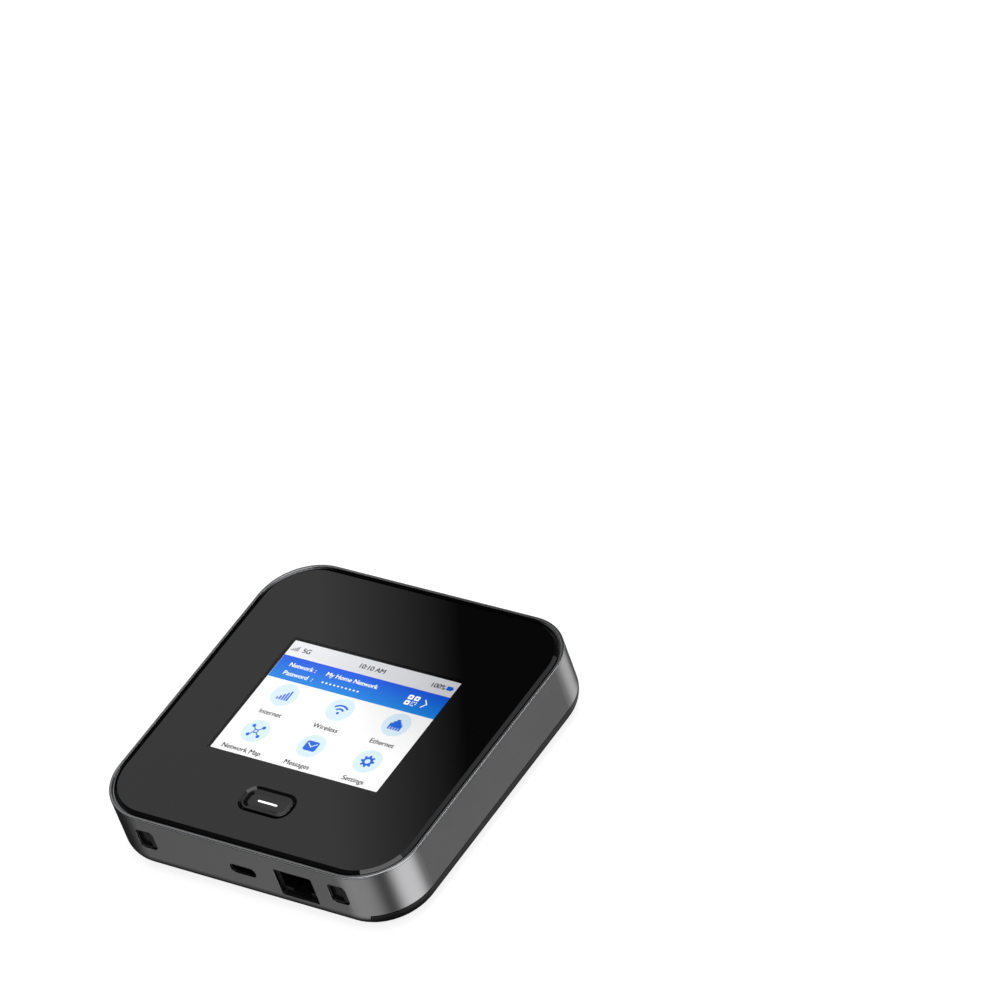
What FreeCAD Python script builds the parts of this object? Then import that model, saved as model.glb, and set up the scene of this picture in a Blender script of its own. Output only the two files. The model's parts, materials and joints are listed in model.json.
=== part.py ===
import FreeCAD, Part
import math
import os
import re
import Sketcher
from FreeCAD import Rotation, Vector

# Pocket 5G hotspot, millimetres. It lies on its back: +Z is the way the screen looks, the ports are in
# the -Y edge, and the origin is the centre of the underside. Every size is a cell of the sheet "dims".

DIMENSIONS = {
    # outer shape
    "body_width": 105, "body_height": 21.5, "corner_radius": 17, "base_radius": 6, "wall": 1.4,
    "fit_gap": 0.15, "skin": 0.1,
    # side band, bezel and the joints between the shells
    "band_top": 20.6, "seam_gap": 0.12, "rabbet_bottom": 19.6, "rabbet_wall": 0.7,
    "parting_height": 5.9, "parting_gap": 0.2, "apron_half": 40.6, "apron_reach": 4, "notch_slope": 1.4,
    "tongue_bottom": 3, "tongue_height": 4.6,
    "bezel_top": 21.22, "bezel_land": 1.0, "bezel_round": 0.3, "skirt_bottom": 19.75, "skirt_wall": 0.65,
    # lens stack
    "lens_width": 101.44, "lens_corner": 15.2, "lens_thickness": 1, "lens_chamfer": 0.85,
    "view_width": 58.6, "view_depth": 44.2, "view_x": -0.85, "view_y": 0.88,
    "ink_thickness": 0.1, "glue_thickness": 0.22, "glue_width": 3,
    "panel_width": 62.6, "panel_depth": 50, "panel_thickness": 1.2, "light_thickness": 1.9,
    "tray_thickness": 0.3, "foam_thickness": 0.5, "film_gap": 0.02,
    # front frame and back housing
    "frame_width": 101.9, "frame_corner": 15.45, "frame_wall": 1.3, "frame_top": 20.12,
    "frame_plate": 0.9, "frame_bottom": 13.5, "housing_top": 13.3, "deck_bottom": 8.4,
    "deck_thickness": 1, "bay_wall": 1.2, "bay_clearance": 0.5, "bay_bottom": 1.8,
    "tub_bottom": 3.4, "tub_floor": 1.2, "tub_half": 46, "tub_front": -47.4, "tub_corner": 6,
    "boss_radius": 2, "boss_hole": 0.85, "boss_side": 45.8, "boss_back": 45.6,
    # battery
    "battery_width": 80, "battery_depth": 66, "battery_thickness": 6.3, "battery_bottom": 1.75,
    "battery_shift": 6.5, "battery_corner": 3, "label_thickness": 0.1,
    # home button
    "button_y": -35, "button_width": 16, "button_depth": 7.5, "button_corner": 3, "button_gap": 0.2,
    "button_top": 21.45, "dish_depth": 0.3, "dish_rim": 0.5, "dish_slope": 1.2,
    "flange_width": 17.6, "flange_depth": 9, "flange_top": 20.2, "flange_thickness": 0.6,
    "bar_length": 6.7, "bar_width": 0.58, "stem_radius": 1.2,
    # ports in the front edge
    "usb_z": 11.65, "usb_width": 8.94, "usb_height": 3.2, "usb_sheet": 0.3, "usb_length": 7.6,
    "usb_recess": 0.5, "jack_x": 18.55, "jack_z": 11.25, "jack_opening_width": 13.1,
    "jack_opening_height": 10, "jack_width": 13.9, "jack_height": 11, "jack_length": 14,
    "plug_width": 11.8, "plug_height": 7.6, "plug_depth": 11.5, "latch_width": 6.3, "latch_height": 1.7,
    "jack_sheet": 0.25, "door_x": 33.75, "door_z": 13.1, "door_opening_width": 6.2,
    "door_opening_height": 7, "door_corner": 1.5, "door_gap": 0.25, "door_recess": 0.2,
    "door_thickness": 1.6, "door_barrel": 0.7, "door_rim": 0.45, "door_pocket": 1,
    "door_relief": 0.65, "door_neck": 2.65, "nail_width": 1.1, "nail_height": 0.9,
    "pin_radius": 0.25, "pin_bore": 0.35, "pin_length": 8.2,
    "socket_radius": 2.5, "socket_bore": 1.3, "socket_depth": 2.4, "socket_length": 7,
    "socket_face": -49.7, "bush_bore": 1.1, "bush_length": 2, "contact_bore": 0.4,
    # boards and what is on them
    "board_bottom": 13.42, "board_thickness": 0.8, "board_half": 43.2, "board_front": -48.6,
    "board_back": 43.4, "board_hole": 2.4, "can_height": 1.9, "can_sheet": 0.2,
    "chip_height": 1, "spreader_bottom": 9.5, "spreader_thickness": 0.4,
    # antennas
    "carrier_width": 3.4, "carrier_height": 3.2, "carrier_length": 46, "carrier_bottom": 9.6,
    "foil_thickness": 0.12,
    # SIM
    "sim_length": 12.3, "sim_width": 8.8, "sim_thickness": 0.67, "sim_x": -30, "sim_y": -38,
    "sim_bottom": 2.3,
    # screws
    "screw_radius": 0.7, "screw_head": 1.5, "screw_head_height": 0.8, "screw_length": 8,
}

doc = FreeCAD.newDocument("hotspot")
sheet = doc.addObject("Spreadsheet::Sheet", "dims")
for row, (alias, number) in enumerate(DIMENSIONS.items(), start=1):
    sheet.set("A%d" % row, alias)
    sheet.set("B%d" % row, str(number))
    sheet.setAlias("B%d" % row, alias)
doc.recompute()

subparts = []


# ---- bound sizes -------------------------------------------------------------------------------------

def cells(expression):
    """The expression with each alias turned into a reference to its cell."""
    return re.sub(r"[a-z]+(?:_[a-z]+)*", lambda word: "dims." + word.group(0), str(expression))


def size(expression):
    """The present value of an expression, as a number."""
    result = sheet.evalExpression(cells(expression))
    return float(getattr(result, "Value", result))


def bind(item, field, expression):
    item.setExpression(field, cells(expression))


def place(item, x="0", y="0", z="0"):
    for axis, expression in zip("xyz", (x, y, z)):
        bind(item, "Placement.Base." + axis, expression)
    return item


def keep(item, label):
    """Marks a finished object as one sub-part."""
    item.Label = label
    subparts.append(item)
    return item


# ---- sketches ----------------------------------------------------------------------------------------

def sketch_on(body, name, plane, offset):
    """A sketch on one of the body's own planes. XY looks up +Z, XZ looks out along -Y, YZ along +X."""
    sketch = body.newObject("Sketcher::SketchObject", name)
    origin_plane = [f for f in body.Origin.OriginFeatures if f.Role == plane + "_Plane"][0]
    sketch.AttachmentSupport = [(origin_plane, "")]
    sketch.MapMode = "FlatFace"
    bind(sketch, "AttachmentOffset.Base.z", offset)
    return sketch


def dimension(sketch, name, expression, *constraint):
    sketch.addConstraint(Sketcher.Constraint(*constraint, size(expression)))
    sketch.renameConstraint(sketch.ConstraintCount - 1, name)
    bind(sketch, "Constraints." + name, expression)


def rounded_loop(sketch, width, depth, radius, x="0", y="0"):
    """A rectangle with four equal round corners, centred on x, y."""
    tag = "loop%d" % sketch.GeometryCount
    half_w, half_d, r = size(width) / 2, size(depth) / 2, size(radius)
    cx, cy = size(x), size(y)
    first = sketch.GeometryCount
    corners = [(1, 1, 0), (-1, 1, 90), (-1, -1, 180), (1, -1, 270)]
    spots = [Vector(cx + sx * (half_w - r), cy + sy * (half_d - r), 0) for sx, sy, turn in corners]
    for spot, (sx, sy, turn) in zip(spots, corners):
        start, end = [Rotation(Vector(0, 0, 1), turn + a).multVec(Vector(r, 0, 0)) for a in (0, 90)]
        circle = Part.Circle(spot, Vector(0, 0, 1), r)
        sketch.addGeometry(Part.ArcOfCircle(circle, math.radians(turn), math.radians(turn + 90)), False)
    ends = [(Vector(0, r, 0), Vector(0, r, 0)), (Vector(-r, 0, 0), Vector(-r, 0, 0)),
            (Vector(0, -r, 0), Vector(0, -r, 0)), (Vector(r, 0, 0), Vector(r, 0, 0))]
    for k, (out_here, out_next) in enumerate(ends):
        sketch.addGeometry(Part.LineSegment(spots[k] + out_here, spots[(k + 1) % 4] + out_next), False)
    for k in range(4):
        arc, line, after = first + k, first + 4 + k, first + (k + 1) % 4
        sketch.addConstraint(Sketcher.Constraint("Tangent", arc, 2, line, 1))
        sketch.addConstraint(Sketcher.Constraint("Tangent", line, 2, after, 1))
    for k in (0, 2):
        sketch.addConstraint(Sketcher.Constraint("Horizontal", first + 4 + k))
        sketch.addConstraint(Sketcher.Constraint("Vertical", first + 5 + k))
    for k in (1, 2, 3):
        sketch.addConstraint(Sketcher.Constraint("Equal", first, first + k))
    dimension(sketch, tag + "_radius", radius, "Radius", first)
    inset = "(%s)/2 - (%s)"
    for axis, kind, span, centre in (("x", "DistanceX", width, x), ("y", "DistanceY", depth, y)):
        high = "(%s) + %s" % (centre, inset % (span, radius))
        low = "(%s) - (%s)" % (centre, inset % (span, radius))
        dimension(sketch, tag + "_high_" + axis, high, kind, -1, 1, first, 3)
        dimension(sketch, tag + "_low_" + axis, low, kind, -1, 1, first + 2, 3)


def circle_loop(sketch, radius, x="0", y="0"):
    tag = "loop%d" % sketch.GeometryCount
    circle = Part.Circle(Vector(size(x), size(y), 0), Vector(0, 0, 1), size(radius))
    number = sketch.addGeometry(circle, False)
    dimension(sketch, tag + "_radius", radius, "Radius", number)
    dimension(sketch, tag + "_x", x, "DistanceX", -1, 1, number, 3)
    dimension(sketch, tag + "_y", y, "DistanceY", -1, 1, number, 3)


def polygon_loop(sketch, points):
    """A closed outline of straight lines through points whose two places are expressions."""
    tag = "loop%d" % sketch.GeometryCount
    first = sketch.GeometryCount
    spots = [Vector(size(x), size(y), 0) for x, y in points]
    count = len(spots)
    for k in range(count):
        sketch.addGeometry(Part.LineSegment(spots[k], spots[(k + 1) % count]), False)
    for k in range(count):
        sketch.addConstraint(Sketcher.Constraint("Coincident", first + k, 2, first + (k + 1) % count, 1))
    for k, (x, y) in enumerate(points):
        dimension(sketch, "%s_x%d" % (tag, k), x, "DistanceX", -1, 1, first + k, 1)
        dimension(sketch, "%s_y%d" % (tag, k), y, "DistanceY", -1, 1, first + k, 1)


# ---- solids ------------------------------------------------------------------------------------------

def add_pad(body, loops, base, height, plane="XY"):
    sketch = sketch_on(body, body.Name + "_sketch", plane, base)
    for shape, arguments in loops:
        shape(sketch, **arguments)
    pad = body.newObject("PartDesign::Pad", body.Name + "_pad")
    pad.Profile = sketch
    bind(pad, "Length", height)
    body.Tip = pad
    return pad


def add_pocket(body, loops, base, depth, plane="XY"):
    """Cuts from the sketch's plane back against the way it looks."""
    before = body.Shape.Volume
    sketch = sketch_on(body, body.Name + "_cut_sketch", plane, base)
    for shape, arguments in loops:
        shape(sketch, **arguments)
    pocket = body.newObject("PartDesign::Pocket", body.Name + "_pocket")
    pocket.Profile = sketch
    bind(pocket, "Length", depth)
    body.Tip = pocket
    doc.recompute()
    if body.Shape.Volume >= before:
        raise RuntimeError("%s cuts nothing" % pocket.Name)
    return pocket


def padded(name, loops, base, height, plane="XY"):
    """A body made by one pad."""
    body = doc.addObject("PartDesign::Body", name)
    add_pad(body, loops, base, height, plane)
    doc.recompute()
    return body


def rounded(width, depth, radius, x="0", y="0"):
    return rounded_loop, dict(width=width, depth=depth, radius=radius, x=x, y=y)


def disc(radius, x="0", y="0"):
    return circle_loop, dict(radius=radius, x=x, y=y)


def dress(body, kind, size_field, amount, wanted):
    """Rounds or chamfers the edges of the body's tip that lie wholly inside the wanted heights."""
    low, high = wanted
    tip = body.Tip
    names = []
    for number, edge in enumerate(tip.Shape.Edges, start=1):
        box = edge.BoundBox
        if box.ZMin > low and box.ZMax < high:
            names.append("Edge%d" % number)
    feature = body.newObject("PartDesign::" + kind, body.Name + "_" + kind.lower())
    feature.Base = (tip, names)
    bind(feature, size_field, amount)
    body.Tip = feature
    doc.recompute()
    return feature


def block(name, width, depth, height, x="0", y="0", z="0"):
    """A box centred on x, y that stands on z."""
    item = doc.addObject("Part::Box", name)
    bind(item, "Length", width)
    bind(item, "Width", depth)
    bind(item, "Height", height)
    return place(item, "(%s) - (%s)/2" % (x, width), "(%s) - (%s)/2" % (y, depth), z)


def rod(name, radius, height, x="0", y="0", z="0", axis="Z"):
    """A cylinder that starts at x, y, z and runs up, or inwards along +Y."""
    item = doc.addObject("Part::Cylinder", name)
    bind(item, "Radius", radius)
    bind(item, "Height", height)
    if axis == "Y":
        item.Placement.Rotation = Rotation(Vector(1, 0, 0), -90)
    return place(item, x, y, z)


def fuse(name, items):
    result = doc.addObject("Part::MultiFuse", name)
    result.Shapes = items
    return result


def cut(name, base, *tools):
    result = doc.addObject("Part::Cut", name)
    result.Base = base
    result.Tool = tools[0] if len(tools) == 1 else fuse(name + "_tools", list(tools))
    return result


def common(name, first, second):
    result = doc.addObject("Part::Common", name)
    result.Base = first
    result.Tool = second
    return result


def compound(name, items):
    """Separate solids that share one sub-part."""
    result = doc.addObject("Part::Compound", name)
    result.Links = items
    return result


# ---- shells ------------------------------------------------------------------------------------------

def pillow(name, inset, bottom, top):
    """The body's outline moved in by inset, with the round lower edge that goes with it."""
    width = "body_width - 2*(%s)" % inset
    body = padded(name, [rounded(width, width, "corner_radius - (%s)" % inset)], bottom,
                  "(%s) - (%s)" % (top, bottom))
    floor = size(bottom)
    dress(body, "Fillet", "Radius", "base_radius - (%s)" % inset, (floor - 0.01, floor + 0.01))
    return body


def apron_prism(name, clearance):
    """The stretch of the front edge where the band runs on under the body, between its two notches."""
    foot = "apron_half + (%s)" % clearance
    top = "parting_height + 1"
    lean = "(%s) + notch_slope" % foot
    body = doc.addObject("PartDesign::Body", name)
    outline = [("0 - (%s)" % foot, "0 - 1"), (foot, "0 - 1"), (foot, "parting_height/2"), (lean, top),
               ("0 - (%s)" % lean, top), ("0 - (%s)" % foot, "parting_height/2")]
    start = "body_width/2 - apron_reach - (%s)" % clearance
    add_pad(body, [(polygon_loop, dict(points=outline))], start, "apron_reach + 2", plane="XZ")
    doc.recompute()
    return body


def below_parting(name, height, clearance):
    """Everything under the parting line, apart from the apron."""
    slab = block(name + "_slab", "body_width + 4", "body_width + 4", "(%s) + 1" % height, z="0 - 1")
    return cut(name, slab, apron_prism(name + "_apron", clearance))


def front_window(name, width, height, radius, x, z, start, depth):
    """A cutter through the front edge: it starts start behind the axis and runs out along -Y."""
    return padded(name, [rounded(width, height, radius, x, z)], start, depth, plane="XZ")


DOOR_SIDES = (("left", "0 - "), ("right", ""))


def port_cutters(prefix, slack, start):
    """Cutters for the USB-C, Ethernet and antenna door openings, each side larger by slack."""
    def wider(value):
        return "%s + 2*(%s)" % (value, slack)
    cutters = [
        front_window(prefix + "_usb", wider("usb_width + fit_gap"), wider("usb_height + fit_gap"),
                     "usb_height/2 + (%s)" % slack, "0", "usb_z", start, "6"),
        front_window(prefix + "_jack", wider("jack_opening_width"), wider("jack_opening_height"),
                     "0.5", "jack_x", "jack_z", start, "6"),
    ]
    for side, sign in DOOR_SIDES:
        cutters.append(front_window(prefix + "_door_" + side, wider("door_opening_width"),
                                    wider("door_opening_height"), "door_corner + (%s)" % slack,
                                    sign + "door_x", "door_z", start, "6"))
    return cutters


def hinge_x(sign):
    """The hinge axis is the middle of the round barrel along each door's +X edge."""
    return "%sdoor_x + door_opening_width/2 - door_gap - door_barrel" % sign


HINGE_Y = "door_recess + door_barrel - body_width/2"


def pin_cutters():
    """The blind holes above and below each door opening that hold its hinge pin."""
    return [rod("pin_hole_" + side, "pin_bore", "pin_length + 0.1", hinge_x(sign), HINGE_Y,
                "door_z - pin_length/2 - 0.05") for side, sign in DOOR_SIDES]


def build_band():
    shell = cut("band_shell", pillow("band_outer", "0", "0", "band_top"),
                pillow("band_inner", "wall", "wall", "band_top + 1"))
    rabbet_width = "body_width - 2*rabbet_wall"
    rabbet = padded("band_rabbet", [rounded(rabbet_width, rabbet_width, "corner_radius - rabbet_wall")],
                    "rabbet_bottom", "3")
    lower = below_parting("band_lower", "parting_height + parting_gap/2", "0")
    openings = port_cutters("band_port", "0", "48") + pin_cutters()
    keep(cut("band", shell, rabbet, lower, *openings), "side_band")


def build_cover():
    zone = below_parting("cover_zone", "parting_height - parting_gap/2", "parting_gap")
    skin = common("cover_skin", pillow("cover_outer", "0", "0", "parting_height + 2"), zone)
    tray = cut("cover_tray", skin, pillow("cover_inner", "wall", "wall", "parting_height + 3"))
    tongues = []
    reach = "body_width/2 - wall - fit_gap - 0.5"
    for number, along in enumerate(("-24", "2", "28")):
        for side in ("-1", "1"):
            name = "cover_tongue_%d_%s" % (number, "left" if side == "-1" else "right")
            tongues.append(block(name, "1", "7", "tongue_height", "%s*(%s)" % (side, reach), along,
                                 "tongue_bottom"))
    for number, along in enumerate(("-26", "0", "26")):
        tongues.append(block("cover_tongue_back_%d" % number, "7", "1", "tongue_height", along, reach,
                             "tongue_bottom"))
    ribs = []
    for number, along in enumerate(("-30", "30")):
        ribs.append(block("cover_rib_%d" % number, "70", "0.8", "0.25", "0", along, "wall - 0.05"))
    keep(fuse("cover", [tray] + tongues + ribs), "back_cover")


def build_bezel():
    body = doc.addObject("PartDesign::Body", "bezel")
    base = "band_top + seam_gap"
    inside = "body_width - 2*bezel_land"
    add_pad(body, [rounded("body_width", "body_width", "corner_radius"),
                   rounded(inside, inside, "corner_radius - bezel_land")], base,
            "bezel_top - (%s)" % base)
    doc.recompute()
    top = size("bezel_top")
    dress(body, "Fillet", "Radius", "bezel_round", (top - 0.01, top + 0.01))
    outer = "body_width - 2*(rabbet_wall + skin)"
    inner = "body_width - 2*(rabbet_wall + skin + skirt_wall)"
    add_pad(body, [rounded(outer, outer, "corner_radius - rabbet_wall - skin"),
                   rounded(inner, inner, "corner_radius - rabbet_wall - skin - skirt_wall")],
            "skirt_bottom", "(%s) - skirt_bottom" % base)
    doc.recompute()
    keep(body, "front_bezel")


def button_hole(slack):
    gap = "2*(button_gap + (%s))" % slack
    return rounded("button_width + " + gap, "button_depth + " + gap,
                   "button_corner + button_gap + (%s)" % slack, "0", "button_y")


def on_display(width, depth, radius):
    """A rounded rectangle about the middle of the display."""
    return rounded(width, depth, radius, "view_x", "view_y")


def view_window(margin="0"):
    return on_display("view_width + 2*(%s)" % margin, "view_depth + 2*(%s)" % margin, "0.3")


def build_lens_stack():
    lens = padded("lens", [rounded("lens_width", "lens_width", "lens_corner"), button_hole("0")],
                  "body_height - lens_thickness", "lens_thickness")
    rim = size("lens_width") / 2 - size("lens_corner")
    top = size("body_height")
    tip = lens.Tip
    names = ["Edge%d" % (number + 1) for number, edge in enumerate(tip.Shape.Edges)
             if edge.BoundBox.ZMin > top - 0.01 and edge.CenterOfMass.sub(
                 Vector(0, 0, edge.CenterOfMass.z)).Length > rim]
    chamfer = lens.newObject("PartDesign::Chamfer", "lens_chamfer_edge")
    chamfer.Base = (tip, names)
    bind(chamfer, "Size", "lens_chamfer")
    lens.Tip = chamfer
    doc.recompute()
    keep(lens, "front_lens")

    ink_top = "body_height - lens_thickness - film_gap"
    sheet_width = "lens_width - 0.4"
    ink = padded("ink", [rounded(sheet_width, sheet_width, "lens_corner - 0.2"), view_window(),
                         button_hole("0.1")], "(%s) - ink_thickness" % ink_top, "ink_thickness")
    keep(ink, "lens_print")

    glue_top = "%s - ink_thickness - film_gap" % ink_top
    inner = "lens_width - 2*glue_width"
    glue = padded("glue", [rounded(sheet_width, sheet_width, "lens_corner - 0.2"),
                           rounded(inner, inner, "lens_corner - glue_width")],
                  "(%s) - glue_thickness" % glue_top, "glue_thickness")
    keep(glue, "lens_adhesive")


def display_plate(name, label, margin, top, thickness, radius="0.5"):
    item = padded(name, [on_display("panel_width + 2*(%s)" % margin, "panel_depth + 2*(%s)" % margin,
                                    radius)], "(%s) - (%s)" % (top, thickness), thickness)
    return keep(item, label)


PANEL_TOP = "frame_top + 0.2"
LIGHT_TOP = PANEL_TOP + " - panel_thickness - film_gap"
TRAY_TOP = LIGHT_TOP + " - light_thickness - film_gap"


def build_display():
    display_plate("panel", "lcd_panel", "0", PANEL_TOP, "panel_thickness")
    display_plate("light", "lcd_backlight", "0", LIGHT_TOP, "light_thickness")
    floor = "%s - tray_thickness" % TRAY_TOP
    tray = doc.addObject("PartDesign::Body", "tray")
    outside = on_display("panel_width + 1.2", "panel_depth + 1.2", "0.8")
    add_pad(tray, [outside], floor, "tray_thickness")
    doc.recompute()
    add_pad(tray, [outside, on_display("panel_width + 0.4", "panel_depth + 0.4", "0.6")],
            "(%s) - 0.01" % TRAY_TOP, "light_thickness - 0.4")
    doc.recompute()
    keep(tray, "lcd_bracket")
    foam = padded("foam", [on_display("panel_width - 4", "panel_depth - 4", "2"),
                           on_display("panel_width - 12", "panel_depth - 12", "2")],
                  "(%s) - film_gap - foam_thickness" % floor, "foam_thickness")
    keep(foam, "display_foam")
    bend_y = "view_y - panel_depth/2 - 1.1"
    foot_z = "board_bottom + board_thickness + film_gap + 0.6"
    upright = block("ribbon_upright", "16", "0.2", "%s - 0.4 - (%s)" % (LIGHT_TOP, foot_z), "0", bend_y,
                    foot_z)
    upper = block("ribbon_upper", "16", "0.72", "0.2", "0", "(%s) + 0.36 - 0.1" % bend_y,
                  "%s - 0.6" % LIGHT_TOP)
    lower = block("ribbon_lower", "16", "3.5", "0.2", "0", "(%s) + 1.65" % bend_y, foot_z)
    upper_cut = block("ribbon_clear", "20", "1", "1", "0", "view_y - panel_depth/2 - 0.2",
                      "%s - 0.9" % LIGHT_TOP)
    keep(cut("ribbon", fuse("ribbon_body", [upright, upper, lower]), upper_cut), "lcd_ribbon")
    plug = block("lcd_plug", "17", "2.6", "0.58", "0", "(%s) + 1.8" % bend_y, "%s - 0.6" % foot_z)
    keep(plug, "lcd_connector")


BOSSES = [("-1*boss_side", "-16"), ("boss_side", "-16"), ("-1*boss_side", "26"), ("boss_side", "26"),
          ("-18", "boss_back"), ("18", "boss_back")]


def ring_loops():
    inner = "frame_width - 2*frame_wall"
    return [rounded("frame_width", "frame_width", "frame_corner"),
            rounded(inner, inner, "frame_corner - frame_wall")]


def build_front_frame():
    body = doc.addObject("PartDesign::Body", "frame")
    add_pad(body, ring_loops(), "frame_bottom", "frame_top - frame_bottom")
    doc.recompute()
    add_pad(body, [rounded("frame_width - 1", "frame_width - 1", "frame_corner - 0.5"),
                   on_display("panel_width + 0.5", "panel_depth + 0.5", "0.6"),
                   rounded("flange_width + 0.6", "flange_depth + 0.6", "3.6", "0", "button_y")],
            "frame_top - frame_plate", "frame_plate")
    doc.recompute()
    posts = []
    foot = "deck_bottom + deck_thickness + 0.05"
    for number, (x, y) in enumerate(BOSSES):
        posts.append(rod("frame_post_%d" % number, "boss_radius", "frame_top - 0.5 - (%s)" % foot, x, y,
                         foot))
    solid = fuse("frame_solid", [body] + posts)
    holes = [rod("frame_hole_%d" % number, "boss_hole", "9", x, y, "deck_bottom")
             for number, (x, y) in enumerate(BOSSES)]
    jack_gap = block("frame_jack_gap", "jack_width + 0.8", "8", "jack_height + 0.8", "jack_x", "tub_front",
                     "jack_z - jack_height/2 - 0.4")
    ports = port_cutters("frame_port", "0.15", "48.5") + [jack_gap]
    keep(cut("front_frame_cut", solid, *(holes + ports)), "front_frame")


def build_back_housing():
    body = doc.addObject("PartDesign::Body", "housing")
    add_pad(body, ring_loops(), "deck_bottom", "housing_top - deck_bottom")
    doc.recompute()
    add_pad(body, [rounded("frame_width - 1", "frame_width - 1", "frame_corner - 0.5")],
            "deck_bottom", "deck_thickness")
    doc.recompute()
    bay_w, bay_d = "battery_width + 2*bay_clearance", "battery_depth + 2*bay_clearance"
    bay_in = rounded(bay_w, bay_d, "battery_corner + bay_clearance", "0", "battery_shift")
    bay_out = rounded(bay_w + " + 2*bay_wall", bay_d + " + 2*bay_wall",
                      "battery_corner + bay_clearance + bay_wall", "0", "battery_shift")
    add_pad(body, [bay_out, bay_in], "bay_bottom", "deck_bottom + 0.2 - bay_bottom")
    doc.recompute()
    tub_back = "battery_shift - battery_depth/2 - bay_clearance - bay_wall + 0.1"
    tub_depth = "%s - tub_front" % tub_back
    tub_y = "(%s + tub_front)/2" % tub_back
    add_pad(body, [rounded("2*tub_half", tub_depth, "tub_corner", "0", tub_y)], "tub_bottom",
            "deck_bottom + 0.2 - tub_bottom")
    doc.recompute()
    inner = rounded("2*tub_half - 2.4", "%s - 2.4" % tub_depth, "tub_corner - 1.2", "0", tub_y)
    add_pocket(body, [inner], "deck_bottom + deck_thickness",
               "deck_bottom + deck_thickness - tub_bottom - tub_floor")
    jack_window = block("housing_jack_gap", "jack_width + 0.8", "8", "jack_height",
                        "jack_x", "tub_front", "jack_z - jack_height/2 - 0.4")
    holes = [rod("housing_hole_%d" % number, "boss_hole", "4", x, y, "deck_bottom - 1")
             for number, (x, y) in enumerate(BOSSES)]
    seats = [rod("housing_seat_%d" % number, "screw_head + 0.2", "0.5", x, y, "deck_bottom - 0.1")
             for number, (x, y) in enumerate(BOSSES)]
    terminal_gap = block("housing_terminal_gap", "12.4", "4", "5.6", "20",
                         "battery_shift - battery_depth/2 - bay_clearance - bay_wall/2", "2.6")
    finger = rod("housing_finger", "7", "7", "0", "battery_shift + battery_depth/2 + 3.5",
                 "bay_bottom - 0.5")
    reset_hole = rod("housing_reset", "0.7", "4", "-12", "-40", "tub_bottom - 1")
    ports = port_cutters("housing_port", "0.15", "48.5")
    tools = holes + seats + [jack_window, terminal_gap, finger, reset_hole] + ports
    keep(cut("housing_cut", body, *tools), "back_housing")


# ---- home button -------------------------------------------------------------------------------------

def build_button():
    body = doc.addObject("PartDesign::Body", "cap")
    stand = "flange_top - flange_thickness"
    add_pad(body, [rounded("flange_width", "flange_depth", "3.4", "0", "button_y")], stand,
            "flange_thickness")
    doc.recompute()
    add_pad(body, [rounded("button_width", "button_depth", "button_corner", "0", "button_y")],
            "flange_top - 0.1", "button_top - flange_top + 0.1")
    doc.recompute()
    add_pad(body, [disc("stem_radius", "0", "button_y - 2")], "%s - 1.35" % stand, "1.4")
    doc.recompute()
    top = size("button_top")
    dress(body, "Fillet", "Radius", "0.2", (top - 0.01, top + 0.01))
    mouth = [rounded("button_width - 2*dish_rim", "button_depth - 2*dish_rim",
                     "button_corner - dish_rim", "0", "button_y")]
    floor = [rounded("button_width - 2*(dish_rim + dish_slope)", "button_depth - 2*(dish_rim + dish_slope)",
                     "button_corner - dish_rim - dish_slope", "0", "button_y")]
    dish = doc.addObject("PartDesign::Body", "dish")
    lower = sketch_on(dish, "dish_floor", "XY", "button_top - dish_depth")
    for shape, arguments in floor:
        shape(lower, **arguments)
    upper = sketch_on(dish, "dish_mouth", "XY", "button_top + 0.01")
    for shape, arguments in mouth:
        shape(upper, **arguments)
    loft = dish.newObject("PartDesign::AdditiveLoft", "dish_loft")
    loft.Profile = lower
    loft.Sections = [upper]
    loft.Ruled = True
    dish.Tip = loft
    doc.recompute()
    slot = padded("bar_slot", [rounded("bar_length + 0.1", "bar_width + 0.1", "bar_width/2", "0",
                                       "button_y")], "%s - 2" % stand, "6")
    keep(cut("button_cut", body, dish, slot), "home_button")
    bar = padded("bar", [rounded("bar_length", "bar_width", "bar_width/2 - 0.01", "0", "button_y")],
                 stand, "button_top - dish_depth + 0.06 - (%s)" % stand)
    keep(bar, "button_light_bar")

    board_top = "%s - 1.35 - 0.05 - 0.75" % stand
    seal = padded("seal", [rounded("flange_width + 0.2", "flange_depth + 0.2", "3.5", "0", "button_y"),
                           rounded("flange_width - 2", "flange_depth - 2", "2.4", "0", "button_y")],
                  "%s - 1.15" % stand, "0.75")
    keep(seal, "button_seal")
    board = padded("button_flex", [rounded("19", "9.6", "1", "0", "button_y")],
                   "%s - 0.4" % board_top, "0.4")
    keep(board, "button_board")
    dome = block("dome_base", "3.4", "3.4", "0.25", "0", "button_y - 2", "%s + film_gap" % board_top)
    crown = rod("dome_crown", "1.3", "0.12", "0", "button_y - 2", "%s + film_gap + 0.25" % board_top)
    keep(fuse("dome", [dome, crown]), "button_switch")
    lamps = [block("lamp_%d" % number, "1.6", "0.8", "0.5", x, "button_y + 0.9", "%s + film_gap" % board_top)
             for number, x in enumerate(("-2", "2"))]
    keep(compound("lamps", lamps), "button_leds")


# ---- ports -------------------------------------------------------------------------------------------

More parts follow.
